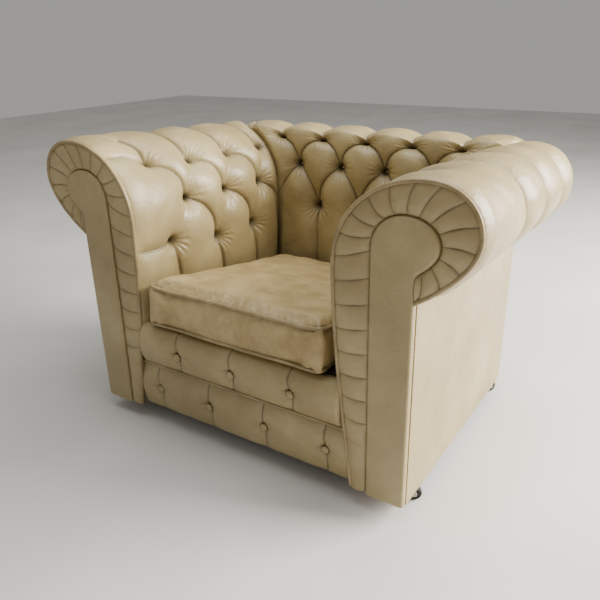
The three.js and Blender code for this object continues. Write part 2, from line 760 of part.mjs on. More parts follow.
for (const [corner, sx, sy, trailDeg] of corners) {
  add(`corner_block_${corner}`, cornerBlock(sx, sy), BEECH);
  const castor = new THREE.Group();
  const endY = sy < 0 ? FRONT_Y + CASTOR.endInset : BACK_Y - CASTOR.endInset;
  castor.position.set(sx * (SIDE_X - CASTOR.sideInset), endY, 0);
  chair.add(castor);
  add(`castor_plate_${corner}`, castorPlate(), STEEL, castor);
  const swivel = new THREE.Group();
  swivel.rotation.z = THREE.MathUtils.degToRad(trailDeg);
  castor.add(swivel);
  add(`castor_fork_${corner}`, castorFork(), STEEL, swivel);
  const wheel = add(`castor_wheel_${corner}`, castorWheel(), BROWN_PLASTIC, swivel);
  wheel.position.set(CASTOR.trail, 0, CASTOR.wheelR);
  const pin = new THREE.CylinderGeometry(CASTOR.axleR, CASTOR.axleR, CASTOR.wheelWidth + 10, 16);
  add(`castor_axle_${corner}`, pin, STEEL, swivel).position.set(CASTOR.trail, 0, CASTOR.wheelR);
}

export default chair;
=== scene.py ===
# %% [markdown]
# # A deep-buttoned scroll-arm club armchair
#
# The chair's timber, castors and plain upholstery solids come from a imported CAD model, the frame.
# This lesson dresses that frame: each plain solid is replaced by hide that puffs, folds and pleats
# as stuffed leather does. Everything is in metres, +Z is up and the chair faces -Y.

# %% Load the frame
import json
import math

import bmesh
import bpy
import mathutils
import numpy as np
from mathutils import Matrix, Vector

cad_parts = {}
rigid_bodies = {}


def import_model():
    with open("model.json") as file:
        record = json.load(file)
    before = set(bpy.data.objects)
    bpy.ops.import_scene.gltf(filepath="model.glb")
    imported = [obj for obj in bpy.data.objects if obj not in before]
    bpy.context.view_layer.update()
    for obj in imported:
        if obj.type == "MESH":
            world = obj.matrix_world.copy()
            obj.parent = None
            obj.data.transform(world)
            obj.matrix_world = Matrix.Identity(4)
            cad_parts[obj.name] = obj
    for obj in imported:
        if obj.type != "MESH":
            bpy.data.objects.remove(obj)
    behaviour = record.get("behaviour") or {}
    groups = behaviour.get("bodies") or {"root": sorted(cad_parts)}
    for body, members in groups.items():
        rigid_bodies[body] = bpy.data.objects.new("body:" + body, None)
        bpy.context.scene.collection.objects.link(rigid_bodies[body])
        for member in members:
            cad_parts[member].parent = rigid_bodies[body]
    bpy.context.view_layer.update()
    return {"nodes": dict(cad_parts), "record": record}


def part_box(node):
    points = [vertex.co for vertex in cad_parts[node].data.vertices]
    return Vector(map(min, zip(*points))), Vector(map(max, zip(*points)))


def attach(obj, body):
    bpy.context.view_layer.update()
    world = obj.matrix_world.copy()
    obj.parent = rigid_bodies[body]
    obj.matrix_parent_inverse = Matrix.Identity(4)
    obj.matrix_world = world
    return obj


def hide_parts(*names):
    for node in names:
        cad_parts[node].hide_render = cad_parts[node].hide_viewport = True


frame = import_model()
for o in bpy.context.scene.objects:
    o.select_set(False)
print("frame nodes:", len(frame["nodes"]))

# %% [markdown]
# ## Sizes that every soft piece shares
#
# The pads, the pleated band and the piping all follow one curve, the scroll: up the inside of the
# arm, over the roll and back under to the neck. The CAD boxes say where the chair's planes stand,
# and the scroll's own sizes, given here, are those of the CAD solids it replaces.

# %% Places taken from the frame
front_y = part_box("arm_band_right")[0].y + 0.002  # the arm front plane
side_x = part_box("outside_arm_right")[1].x  # outer face of the outside arm
back_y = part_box("outside_back")[1].y
corner_r = 0.040  # plan radius of the back corners
corner_x, corner_y = side_x - corner_r, back_y - corner_r
straight = corner_y - front_y  # length of arm in front of the corner point
fall = 0.0525  # the rolls drop this much per metre towards the back
roll_drop = fall * straight
base_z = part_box("outside_arm_right")[0].z
inner_u, back_inner_u = -0.171, -0.079  # inside faces of arm and back, from the outside panels
joint_ratio = (corner_r + back_inner_u) / (corner_r + inner_u)
print("arm front y", round(front_y, 4), "side x", side_x, "straight", round(straight, 4))


# %% The scroll curve
def bezier(p0, p1, p2, p3, count):
    """Points on a cubic curve."""
    t = np.linspace(0, 1, count)[:, None]
    p0, p1, p2, p3 = (np.array(p, float) for p in (p0, p1, p2, p3))
    return (1 - t) ** 3 * p0 + 3 * (1 - t) ** 2 * t * p1 + 3 * (1 - t) * t * t * p2 + t**3 * p3


def scroll(foot, inner, shoulder, top_u, top, outer, side, neck_u, neck, base):
    """(u, z) along a scroll: foot, inside face, over the roll, down to the neck."""
    bow, leg, under = 0.58, shoulder - base, side - neck
    curves = [
        ((foot, base), (foot + (inner - foot) * 0.6, base + leg * 0.43),
         (inner, shoulder - leg * 0.29), (inner, shoulder), 90),
        ((inner, shoulder), (inner, shoulder + (top - shoulder) * bow),
         (top_u - (top_u - inner) * bow, top), (top_u, top), 90),
        ((top_u, top), (top_u + (outer - top_u) * bow, top),
         (outer, side + (top - side) * bow), (outer, side), 60),
        ((outer, side), (outer, side - under * 0.35),
         (neck_u + (outer - neck_u) * 0.54, neck + under * 0.28), (neck_u, neck), 60),
    ]
    return np.vstack([bezier(*curve)[k > 0 :] for k, curve in enumerate(curves)])


def resample(points, count=None, at=None):
    """Points at even arc lengths along a polyline, or at the given lengths."""
    length = np.r_[0, np.cumsum(np.linalg.norm(np.diff(points, axis=0), axis=1))]
    at = np.linspace(0, length[-1], count) if at is None else at
    return np.stack([np.interp(at, length, points[:, k]) for k in range(points.shape[1])], 1)


def arc_length(points):
    """Length of a polyline."""
    return float(np.linalg.norm(np.diff(points, axis=0), axis=1).sum())


def left_normals(line):
    """Unit normals on the left of a line in a plane."""
    slope = np.gradient(line, axis=0)
    slope /= np.linalg.norm(slope, axis=1)[:, None]
    return np.stack([-slope[:, 1], slope[:, 0]], 1)


def select_only(obj):
    """Makes one object the selected and active one."""
    for o in bpy.context.selected_objects:
        o.select_set(False)
    obj.select_set(True)
    bpy.context.view_layer.objects.active = obj


def in_scene(name, data):
    """A new object that shows this data."""
    made = bpy.data.objects.new(name, data)
    bpy.context.scene.collection.objects.link(made)
    return made


inner_shoulder = 0.545  # height where the inside face starts to turn into the roll
outer_roll = {
    "foot": -0.124, "inner": inner_u, "shoulder": inner_shoulder, "top_u": 0.015, "top": 0.722,
    "outer": 0.112, "side": 0.633, "neck_u": 0.0, "neck": 0.498,
}
pad_scroll = scroll(**outer_roll, base=base_z + 0.005)
pad_length = np.r_[0, np.cumsum(np.linalg.norm(np.diff(pad_scroll, axis=0), axis=1))]


def height_to_length(z):
    """Arc length at which the inside of the scroll first reaches a height."""
    return pad_length[int(np.argmax(pad_scroll[:, 1] >= z))]


print("scroll length", round(pad_length[-1], 3))


# %% [markdown]
# ## From arrays to meshes
#
# A tufted hide has thousands of points whose heights follow a rule, so it is made in mesh code: a
# grid of points goes straight into a mesh. Every mesh is closed, its doubles are merged and its
# normals turned outwards, because a renderer and a printer both ask which side is out.

# %% Mesh helpers
def finish_mesh(name, verts, faces, smooth=True, hollow=None):
    """A named object whose place is in its mesh, closed and facing outwards."""
    mesh = bpy.data.meshes.new(name)
    mesh.from_pydata([tuple(v) for v in verts], [], faces)
    if hollow is not None:
        # the hollow values are kept on the points; the hide paints shade from them
        layer = mesh.attributes.new("hollow", "FLOAT", "POINT")
        layer.data.foreach_set("value", np.asarray(hollow, np.float32))
    bm = bmesh.new()
    bm.from_mesh(mesh)
    bmesh.ops.remove_doubles(bm, verts=bm.verts, dist=2e-5)
    bmesh.ops.recalc_face_normals(bm, faces=bm.faces)
    if bm.calc_volume(signed=True) < 0:
        bmesh.ops.reverse_faces(bm, faces=bm.faces)
    bm.to_mesh(mesh)
    bm.free()
    if smooth:
        mesh.shade_smooth()
    return in_scene(name, mesh)


def grid_faces(rows, cols, start=0, flip=False):
    """Quads of a grid whose points are stored row by row."""
    r, c = np.meshgrid(np.arange(rows - 1), np.arange(cols - 1), indexing="ij")
    a = (r * cols + c).ravel() + start
    quad = np.stack([a, a + 1, a + cols + 1, a + cols], 1)
    return (quad[:, ::-1] if flip else quad).tolist()


def edge_ring(rows, cols, start=0):
    """Indices round the outside of a grid, once round."""
    grid = np.arange(rows * cols).reshape(rows, cols) + start
    sides = grid[0, :-1], grid[:-1, -1], grid[-1, :0:-1], grid[:0:-1, 0]
    return [index for side in sides for index in side]


def closed_grid(name, front, back, hollow=None, step=1):
    """Closes a fine grid with a grid behind it that has every step-th point."""
    rows, cols = front.shape[:2]
    fine = front.reshape(-1, 3)
    coarse = back.reshape(-1, 3)
    n, (br, bc) = len(fine), back.shape[:2]
    faces = grid_faces(rows, cols) + grid_faces(br, bc, n, flip=True)
    ring, inner = edge_ring(rows, cols), edge_ring(br, bc, n)
    for k, low in enumerate(inner):
        after = inner[(k + 1) % len(inner)]
        for j in range(step):
            a, b = ring[(k * step + j) % len(ring)], ring[(k * step + j + 1) % len(ring)]
            faces.append((a, low, b))
        faces.append((ring[((k + 1) * step) % len(ring)], low, after))
    depth = None if hollow is None else np.r_[np.asarray(hollow).ravel(), np.zeros(len(coarse))]
    return finish_mesh(name, np.vstack([fine, coarse]), faces, hollow=depth)


def mirrored(obj, name):
    """The same piece for the other side of the chair."""
    mesh = obj.data.copy()
    mesh.name = name
    co = np.zeros(len(mesh.vertices) * 3, np.float32)
    mesh.vertices.foreach_get("co", co)
    co[0::3] *= -1
    mesh.vertices.foreach_set("co", co)
    mesh.flip_normals()
    return in_scene(name, mesh)


print("mesh helpers ready")

# %% [markdown]
# ## Colours and the hide
#
# The cover is aniline-look cow hide, finished in a tan that leans to olive. A hide's colour is
# never even: the high places are rubbed pale, and broad patches differ. The folds, creases, seams
# and button hollows are painted darker as shade, for creases too narrow for the mesh to cast it.
# Its grain is a net of small cells about a millimetre across, drawn here at about twice that so
# that it shows. Colours are written as screen hex values and turned to linear light once.

# %% Colour and node helpers
def linear(hex_colour):
    """A screen colour such as a89468 as linear light."""
    parts = [int(hex_colour[k : k + 2], 16) / 255 for k in (0, 2, 4)]
    light = [p / 12.92 if p <= 0.04045 else ((p + 0.055) / 1.055) ** 2.4 for p in parts]
    return (*light, 1)


def plug(tree, made, sockets):
    """Gives sockets a value each, or a link where the value is another node's socket."""
    for key, value in sockets.items():
        if isinstance(value, bpy.types.NodeSocket):
            tree.links.new(value, made.inputs[key])
        else:
            made.inputs[key].default_value = value


def node(tree, kind, sockets, stops=(), **properties):
    """Adds a node with its properties, its sockets and, for a ramp, its (place, colour) stops."""
    made = tree.nodes.new("ShaderNode" + kind)
    for key, value in properties.items():
        setattr(made, key, value)
    plug(tree, made, sockets)
    for _ in range(len(stops) - 2):  # a ramp starts with two
        made.color_ramp.elements.new(0.5)
    for element, (place, colour) in zip(made.color_ramp.elements if stops else (), stops):
        element.position, element.color = place, linear(colour)
    return made


def new_material(name):
    """An empty material with its shader, ready for nodes."""
    material = bpy.data.materials.new(name)
    material.use_nodes = True
    tree = material.node_tree
    shader = tree.nodes["Principled BSDF"]
    where = node(tree, "TexCoord", {}).outputs["Object"]
    return material, tree, shader, where


# %% Hide
def hide(name, deep, mid, pale, rough=0.40, patch_mm=130, worn=0.35, creases=0.4):
    """Finished cow hide: broad patches, painted shade in the folds, pale wear, grain and fine
    creases.
    """
    material, tree, shader, where = new_material(name)
    patches = node(
        tree, "TexNoise",
        {"Vector": where, "Scale": 1000 / patch_mm, "Detail": 5, "Roughness": 0.6},
    ).outputs["Fac"]
    base = node(
        tree, "ValToRGB", {"Fac": patches}, stops=[(0.36, deep), (0.5, mid), (0.66, pale)]
    ).outputs["Color"]
    specks = node(
        tree, "TexNoise",
        {"Vector": where, "Scale": 1000 / 14, "Detail": 6, "Roughness": 0.7},
    ).outputs["Fac"]
    rub = node(
        tree, "MapRange",
        {"Value": specks, "From Min": 0.5, "From Max": 0.75, "To Max": worn},
    ).outputs["Result"]
    rubbed = node(  # a colour mix takes its two colours at sockets 6 and 7
        tree, "Mix", {"Factor": rub, 6: base, 7: linear(pale)}, data_type="RGBA"
    ).outputs[2]
    # painted shade: the mesh's hollow value darkens the hide towards 33260f in folds, pleat
    # creases, seams and button pits
    fold = node(tree, "Attribute", {}, attribute_name="hollow").outputs["Fac"]
    shaded = node(
        tree, "Mix", {"Factor": fold, 6: rubbed, 7: linear("33260f")}, data_type="RGBA"
    ).outputs[2]
    gloss = node(
        tree, "MapRange",
        {"Value": specks, "To Min": rough - 0.10, "To Max": rough + 0.14},
    ).outputs["Result"]
    grain = node(
        tree, "TexVoronoi", {"Vector": where, "Scale": 1000 / 2.2},
        feature="DISTANCE_TO_EDGE",
    ).outputs["Distance"]
    lines = node(
        tree, "TexNoise",
        {"Vector": where, "Scale": 1000 / 45, "Detail": 8, "Roughness": 0.65, "Distortion": 1.4},
    ).outputs["Fac"]
    cells = node(
        tree, "Bump", {"Height": grain, "Strength": 0.22, "Distance": 0.0006}
    ).outputs["Normal"]
    bent = node(
        tree, "Bump",
        {"Height": lines, "Normal": cells, "Strength": creases, "Distance": 0.006},
    ).outputs["Normal"]
    plug(tree, shader, {
        "Base Color": shaded, "Roughness": gloss, "Normal": bent, "IOR": 1.5,
        "Coat Weight": 0.12, "Coat Roughness": 0.3,
    })
    return material


hide_tan = hide("tan_hide", "8e7d54", "99885e", "a5956b", rough=0.35, patch_mm=190, worn=0.14)
hide_seat = hide("worn_seat_hide", "978154", "a58f60", "b39f72", rough=0.40, patch_mm=60, worn=0.28,
                 creases=0.7)
hide_piping = hide("piping_hide", "7f6d48", "8d7b54", "9e8d66", patch_mm=60, worn=0.2, creases=0.15)
print("hides:", [m.name for m in bpy.data.materials])


# %% [markdown]
# ## Deep buttoning
#
# On the real chair the hide is laid over stuffing and pulled down at each button. Between buttons
# the slack is tucked into a fold, so the surface is a net of diamonds with a fold on each edge.
# Here the height of the hide is a rule: full between folds, falling in a V at each fold, and deep
# where several folds meet at a button. A fold has a lip, because the slack lies over to one side.
# Short creases fan out from each button where the hide is gathered.

# %% Fold and button field
def make_fold(a, b, bow, weight, sharp, count=11):
    """A fold between two places, bowed by a share of its length; its weight; its lip's side."""
    a, b = np.array(a, float), np.array(b, float)
    t = np.linspace(0, 1, count)[:, None]
    across = np.array([-(b - a)[1], (b - a)[0]])
    return a + (b - a) * t + across * bow * np.sin(np.pi * t), weight, sharp


def fold_distance(q, s, line):
    """Distance from each grid point to a fold, and which side of it the point is on."""
    best, side = np.full(q.shape, 9.0), np.zeros(q.shape)
    for (ax, ay), (bx, by) in zip(line[:-1], line[1:]):
        dx, dy = bx - ax, by - ay
        t = np.clip(((q - ax) * dx + (s - ay) * dy) / (dx * dx + dy * dy), 0, 1)
        ex, ey = q - ax - t * dx, s - ay - t * dy
        d = np.hypot(ex, ey)
        near = d < best
        best = np.where(near, d, best)
        side = np.where(near, (dx * ey - dy * ex) / math.hypot(dx, dy), side)
    return best, side


def buttoned(q, s, buttons, folds, full=0.0235, sunk=0.0130, lip=0.0062, seed=3):
    """Height of the hide over the pad, and how hollow each place is, which is painted as shade."""
    crowd, lips, line = np.zeros(q.shape), np.zeros(q.shape), np.zeros(q.shape)
    broad = np.zeros(q.shape)
    for path, weight, sharp in folds:
        d, side = fold_distance(q, s, path)
        crowd += weight * np.exp(-d / (0.015 if sharp else 0.021))
        if sharp:
            over = 1 / (1 + np.exp(np.clip(-side * sharp / 0.0008, -50, 50)))
            lips = np.maximum(lips, lip * over * np.exp(-d / 0.016))
            line = np.maximum(line, np.exp(-((d / 0.0021) ** 2)))
            broad = np.maximum(broad, np.exp(-d / 0.030))
    height = -sunk + full * np.exp(-1.1 * crowd) + lips * np.clip(1.6 - crowd, 0.2, 1)
    height -= 0.0026 * line + 0.0075 * broad
    # painted shade: a narrow dark line along each sharp fold, which the grid is too coarse to cast
    dark = 0.62 * line
    rng = np.random.default_rng(seed)
    for bq, bs in buttons:
        dq, ds = q - bq, s - bs
        r, angle = np.hypot(dq, ds), np.arctan2(ds, dq)
        height -= 0.010 * np.exp(-((r / 0.030) ** 1.5)) + 0.011 * np.exp(-((r / 0.011) ** 2))
        # painted shade in the pit under each button
        dark = np.maximum(dark, 0.95 * np.exp(-((r / 0.0125) ** 2)))
        turn, count = rng.uniform(0, 6.28), rng.integers(15, 20)
        fan = np.sin(count * angle + turn + 2.2 * np.sin(2 * angle + turn) + 45 * r)
        lower = 0.65 + 0.35 * np.cos(angle + 0.9)
        height += 0.0016 * lower * (np.abs(fan) ** 0.6 * np.sign(fan)) * np.exp(
            -(((r - 0.027) / 0.017) ** 2)
        )
    slack = np.sin(q * 61 + 1.3 * np.sin(s * 37 + seed)) * np.sin(s * 53 + 1.1 * np.sin(q * 29))
    height += 0.0008 * slack
    # hollow: painted shade where folds crowd together, plus the fold lines and button pits
    hollow = np.clip(np.clip((crowd - 0.8) / 2.2, 0, 1) * 0.4 + dark, 0, 1)
    return height, hollow


# %% [markdown]
# The folds are listed by the buttons they join. Each button's fold down towards the back is the
# sharp one, and the other diagonal is a softer valley. Below the last row the folds run straight
# down to the seat, and above the first row they run over the roll as long pleats.

# %% The joint between arm and back
def to_joint(height, hollow, left):
    """Brings the hide down to one shared valley at the joint and paints shade along that valley;
    left is the length still to go.
    """
    near = np.clip(left / 0.034, 0, 1)
    ease = near * near * (3 - 2 * near)
    # painted shade: a narrow dark line down the valley where arm and back meet
    seam = 0.6 * np.exp(-((left / 0.003) ** 2))
    return height * ease - 0.0065 * (1 - ease), np.maximum(hollow, seam)


# %% Arm pads
pad_spacing = 0.0028  # between points of a pad's grid
pad_foot_z = 0.236  # height at which a pad's hide starts
lining_depth = 0.046


def section(squeeze=False):
    """Scroll points and outward normals at even arc lengths from the pad's foot to its neck."""
    foot = height_to_length(pad_foot_z)
    count = 8 * int(round((pad_length[-1] - foot) / pad_spacing / 8)) + 1
    at = np.linspace(foot, pad_length[-1], count)
    uz = resample(pad_scroll, at=at)
    if squeeze:
        u = uz[:, 0]
        uz[:, 0] = np.where(u < -corner_r, -corner_r + (u + corner_r) * joint_ratio, u)
    normal = left_normals(uz)
    if squeeze:  # ease the kink where the squeezed inside meets the roll
        for _ in range(30):
            normal[1:-1] = (normal[:-2] + normal[1:-1] + normal[2:]) / 3
        normal /= np.linalg.norm(normal, axis=1)[:, None]
    return at, uz, normal


def arm_surface(t, at, uz, normal, height_of):
    """Points of the arm's hide for shares t of each row's length."""
    u = uz[:, 0:1]
    radius = corner_r + u
    valley = radius + 0.010 * -normal[:, 0:1]
    length = np.where(radius > 0, straight + math.pi / 4 * radius, straight + valley * joint_ratio)
    q = t[None, :] * length
    turn = np.where(radius > 0, np.clip((q - straight) / np.maximum(radius, 1e-6), 0, None), 0)
    pattern = np.where(q > straight, straight + turn * 0.10, q)
    s = np.repeat(at[:, None], len(t), 1)
    height, hollow = height_of(pattern, s, length - q)
    out = u + height * normal[:, 0:1]
    z = uz[:, 1:2] + height * normal[:, 1:2] - fall * np.minimum(q, straight)
    r = corner_r + out
    x = np.where(turn > 0, corner_x + r * np.cos(turn), side_x + out)
    y = np.where(turn > 0, corner_y + r * np.sin(turn), front_y + 0.0015 + q)
    return np.stack([x, y, z], 2), hollow


row_1 = height_to_length(0.676)
row_2, row_3 = height_to_length(0.572), height_to_length(0.448)
foot_s = height_to_length(pad_foot_z)
neck_s = pad_length[-1]
arm_rows = [
    [(0.122, row_1), (0.270, row_1 - 0.006), (0.425, row_1 - 0.004), (0.580, row_1)],
    [(0.207, row_2), (0.362, row_2), (0.516, row_2)],
    [(0.137, row_3 + 0.018), (0.312, row_3 - 0.006), (0.472, row_3)],
]


def arm_folds():
    """Folds of one arm, each with its weight and how sharp and which way its lip lies."""
    one, two, three = arm_rows
    corner = (0.640, row_2 + 0.03)
    folds = []
    for k in range(3):
        folds.append(make_fold(one[k], two[k], 0.17, 1.0, 1))
        folds.append(make_fold(one[k + 1], two[k], -0.05, 0.8, 0))
        folds.append(make_fold(two[k], three[k], -0.05, 0.75, 0))
    folds.append(make_fold(two[0], three[1], 0.15, 1.0, 1))
    folds.append(make_fold(two[1], three[2], 0.15, 1.0, 1))
    folds.append(make_fold(two[2], (0.60, row_3 + 0.04), 0.12, 0.9, 1))
    folds.append(make_fold(one[3], corner, 0.10, 0.9, 1))
    for (q, s), low in zip(three, (0.150, 0.330, 0.480)):
        folds.append(make_fold((q, s), (low, foot_s), 0.04, 0.8, 1))
    folds.append(make_fold(three[0], (-0.01, row_3 + 0.020), 0.05, 0.7, 1))
    folds.append(make_fold((-0.01, row_1 + 0.020), one[0], 0.16, 0.85, 1))
    folds.append(make_fold(one[0], (0.110, row_1 + 0.100), -0.10, 0.7, -1))
    for q, s in one[1:]:
        folds.append(make_fold((q, s), (q + 0.018, neck_s), 0.03, 1.15, -1, 17))
    folds.append(make_fold((0.70, row_1), (0.712, neck_s), 0.02, 1.0, -1))
    return folds


def arm_height(q, s, left):
    """The arm's hide: its buttoning, eased at the piping, the neck and the joint."""
    height, hollow = buttoned(q, s, [b for row in arm_rows for b in row], arm_folds())
    calm = np.clip(q / 0.030, 0, 1) ** 0.6  # held flat under the piping at the front
    under = np.clip((neck_s - s) / 0.05, 0, 1) ** 0.5
    return to_joint(height * calm * under - 0.001, hollow * calm, left)


def tufted_pad(name, surface, height_of, span, width, squeeze=False):
    """A closed pad: tufted hide in front and a plain lining behind it."""
    at, uz, normal = section(squeeze)
    t = np.linspace(*span, 8 * int(round(width / pad_spacing / 8)) + 1)
    front, hollow = surface(t, at, uz, normal, height_of)

    def plain(q, s, left):
        return np.full(q.shape, -lining_depth), np.zeros(q.shape)

    back, _ = surface(t[::8], at[::8], uz[::8], normal[::8], plain)
    return closed_grid(name, front, back, hollow, 8)


arm_cover = tufted_pad("arm_cover_right", arm_surface, arm_height, (0, 1), 0.66)
arm_cover_left = mirrored(arm_cover, "arm_cover_left")
print("arm cover faces", len(arm_cover.data.polygons))


# %% [markdown]
# The back is buttoned in the same way. Its inside is thinner than the arm's and its roll is
# lower, and its middle has a button on the first and third rows.

# %% Back pad
def back_surface(t, at, uz, normal, height_of):
    """Points of the back's hide; t runs from -1 at one joint to 1 at the other."""
    u = uz[:, 0:1]
    radius = corner_r + u
    valley = radius - 0.004 * normal[:, 0:1]
    length = np.where(radius > 0, corner_x + math.pi / 4 * radius, corner_x + valley / joint_ratio)
    p = t[None, :] * length
    away = np.abs(p)
    turn = np.where(radius > 0, np.clip((away - corner_x) / np.maximum(radius, 1e-6), 0, None), 0)
    pattern = np.sign(p) * np.where(away > corner_x, corner_x + turn * 0.10, away)
    s = np.repeat(at[:, None], len(t), 1)
    height, hollow = height_of(pattern, s, length - away)
    out = u + height * normal[:, 0:1]
    z = uz[:, 1:2] + height * normal[:, 1:2] - roll_drop
    r = corner_r + out
    x = np.where(turn > 0, corner_x + r * np.sin(turn), away) * np.sign(p)
    y = np.where(turn > 0, corner_y + r * np.cos(turn), back_y + out)
    return np.stack([x, y, z], 2), hollow


pitch = 0.141
back_1, back_2, back_3 = (height_to_length(z) for z in (0.702, 0.622, 0.498))
back_rows = [
    [(k * pitch, back_1) for k in (-2, -1, 0, 1, 2)],
    [(k * pitch, back_2) for k in (-1.5, -0.5, 0.5, 1.5)],
    [(k * pitch, back_3) for k in (-1, 0, 1)],
]


def back_height(q, s, left):
    """The back's hide: its buttoning, eased at the neck and the joint."""
    one, two, three = back_rows
    folds = []
    for k in range(4):
        folds.append(make_fold(one[k], two[k], 0.12, 1.0, 1))
        folds.append(make_fold(one[k + 1], two[k], -0.12, 1.0, -1))
    for k in range(3):
        folds.append(make_fold(two[k], three[k], 0.12, 1.0, 1))
        folds.append(make_fold(two[k + 1], three[k], -0.12, 1.0, -1))
        folds.append(make_fold(three[k], (three[k][0] * 1.02, foot_s), 0.01, 0.9, 1))
    for end, b in ((-1, two[0]), (1, two[3])):
        folds.append(make_fold(b, (end * 0.285, back_3 + 0.02), 0.0, 0.9, 1))
    for p, s0 in one:
        folds.append(make_fold((p, s0), (p * 1.03, neck_s), 0.006, 1.0, 1, 15))
    for p in (-0.43, 0.43):
        folds.append(make_fold((p, back_1 + 0.02), (p, neck_s), 0.0, 0.9, 1, 9))
    height, hollow = buttoned(q, s, [b for row in back_rows for b in row], folds, seed=8)
    under = np.clip((neck_s - s) / 0.05, 0, 1) ** 0.5
    return to_joint(height * under - 0.001, hollow, left)


back_cover = tufted_pad("back_cover", back_surface, back_height, (-1, 1), 0.92, squeeze=True)
print("back cover faces", len(back_cover.data.polygons))


# %% [markdown]
# ## Covered buttons
#
# Each button is a metal blank wrapped in the same hide: a low dome. One is modelled from a sphere,
# flattened and cut off behind, and the rest are copies set into the hollows and turned to face
# out of the pad. Copies on one pad are joined, as they are held by one cover.

# %% The button
def covered_button():
    """A button 19 mm across, its dome towards +Z."""
    bpy.ops.mesh.primitive_uv_sphere_add(segments=20, ring_count=12, radius=0.0095)
    made = bpy.context.object
    bpy.ops.object.mode_set(mode="EDIT")
    bpy.ops.mesh.select_all(action="SELECT")
    bpy.ops.transform.resize(value=(1, 1, 0.52))
    bpy.ops.mesh.bisect(
        plane_co=(0, 0, -0.0032), plane_no=(0, 0, 1), clear_inner=True, use_fill=True
    )
    bpy.ops.object.mode_set(mode="OBJECT")
    made.data.shade_smooth()
    return made


button = covered_button()
button_co = np.array([v.co for v in button.data.vertices])
button_faces = [tuple(p.vertices) for p in button.data.polygons]
bpy.data.objects.remove(button)


def buttons_at(name, places):
    """Copies of the button at (point, outward direction) places, as one mesh."""
    verts, faces = [], []
    for point, out in places:
        out = np.array(out) / np.linalg.norm(out)
        right = np.cross(out, (0.1, 0.3, 1.0) if abs(out[2]) < 0.9 else (0, 1, 0))
        right /= np.linalg.norm(right)
        turned = button_co @ np.stack([right, np.cross(out, right), out]) + np.array(point)
        faces += [tuple(i + len(verts) * len(button_co) for i in f) for f in button_faces]
        verts.append(turned)
    return finish_mesh(name, np.vstack(verts), faces)


def pad_places(rows, surface, height_of, squeeze=False, lift=-0.001):
    """Where the buttons of a pad sit: the deepest place of each hollow, and the way out."""
    places = []
    at, uz, normal = section(squeeze)
    for q, s in (b for row in rows for b in row):
        i = int(np.argmin(np.abs(at - s)))
        h = float(height_of(np.array([[q]]), np.array([[at[i]]]), 1.0)[0][0, 0]) + lift

        def still(a, b, left, h=h):
            return np.full(a.shape, h), np.zeros(a.shape)

        t = np.linspace(-1, 1, 4001) if squeeze else np.linspace(0, 1, 2001)
        points, _ = surface(t, at[i : i + 1], uz[i : i + 1], normal[i : i + 1], still)
        flat = points[0]
        along = flat[:, 0] if squeeze else flat[:, 1] - front_y
        point = flat[int(np.argmin(np.abs(along - q)))]
        n = normal[i]
        out = (0.0, n[0], n[1]) if squeeze else (n[0], 0.0, n[1])
        places.append((point, out))
    return places


arm_buttons = buttons_at("arm_buttons_right", pad_places(arm_rows, arm_surface, arm_height))
arm_buttons_left = mirrored(arm_buttons, "arm_buttons_left")
back_buttons = buttons_at("back_buttons", pad_places(back_rows, back_surface, back_height, True))
print("buttons on one arm", sum(len(r) for r in arm_rows))


# %% [markdown]
# ## The pleated band and the arm facing
#
# The front of each arm is a flat keyhole facing with a band of hide round it. The band is gathered
# into pleats, each pressed flat at the facing and full at the rim, and the pleats fan round the
# head and then step down the leg. It is a grid between two outlines, the facing's and the
# scroll's, with a puff between each two pleats.

# %% Outlines of the arm front
face_scroll = scroll(**outer_roll, base=0.043)
keyhole_shoulder = 0.590
keyhole = scroll(
    foot=-0.087, inner=-0.090, shoulder=keyhole_shoulder, top_u=-0.024, top=0.658,
    outer=0.042, side=0.607, neck_u=-0.0003, neck=0.552, base=0.038,
)


def from_bottom(points, foot_z):
    """An outline started and ended at the chair's lower edge, down the outside of the arm."""
    tail_u = points[-1, 0]
    tail = np.stack([np.full(40, tail_u), np.linspace(points[-1, 1], foot_z, 41)[1:]], 1)
    return np.vstack([points, tail])


print("keyhole width", round(float(keyhole[:, 0].max() - keyhole[:, 0].min()), 3))


# %% Pleated band
def pleat_wave(phase):
    """Height of a pleated surface by phase: full puffs with a narrow overlapped crease."""
    part = phase - np.floor(phase)
    return np.sin(np.pi * part**0.85) ** 0.36


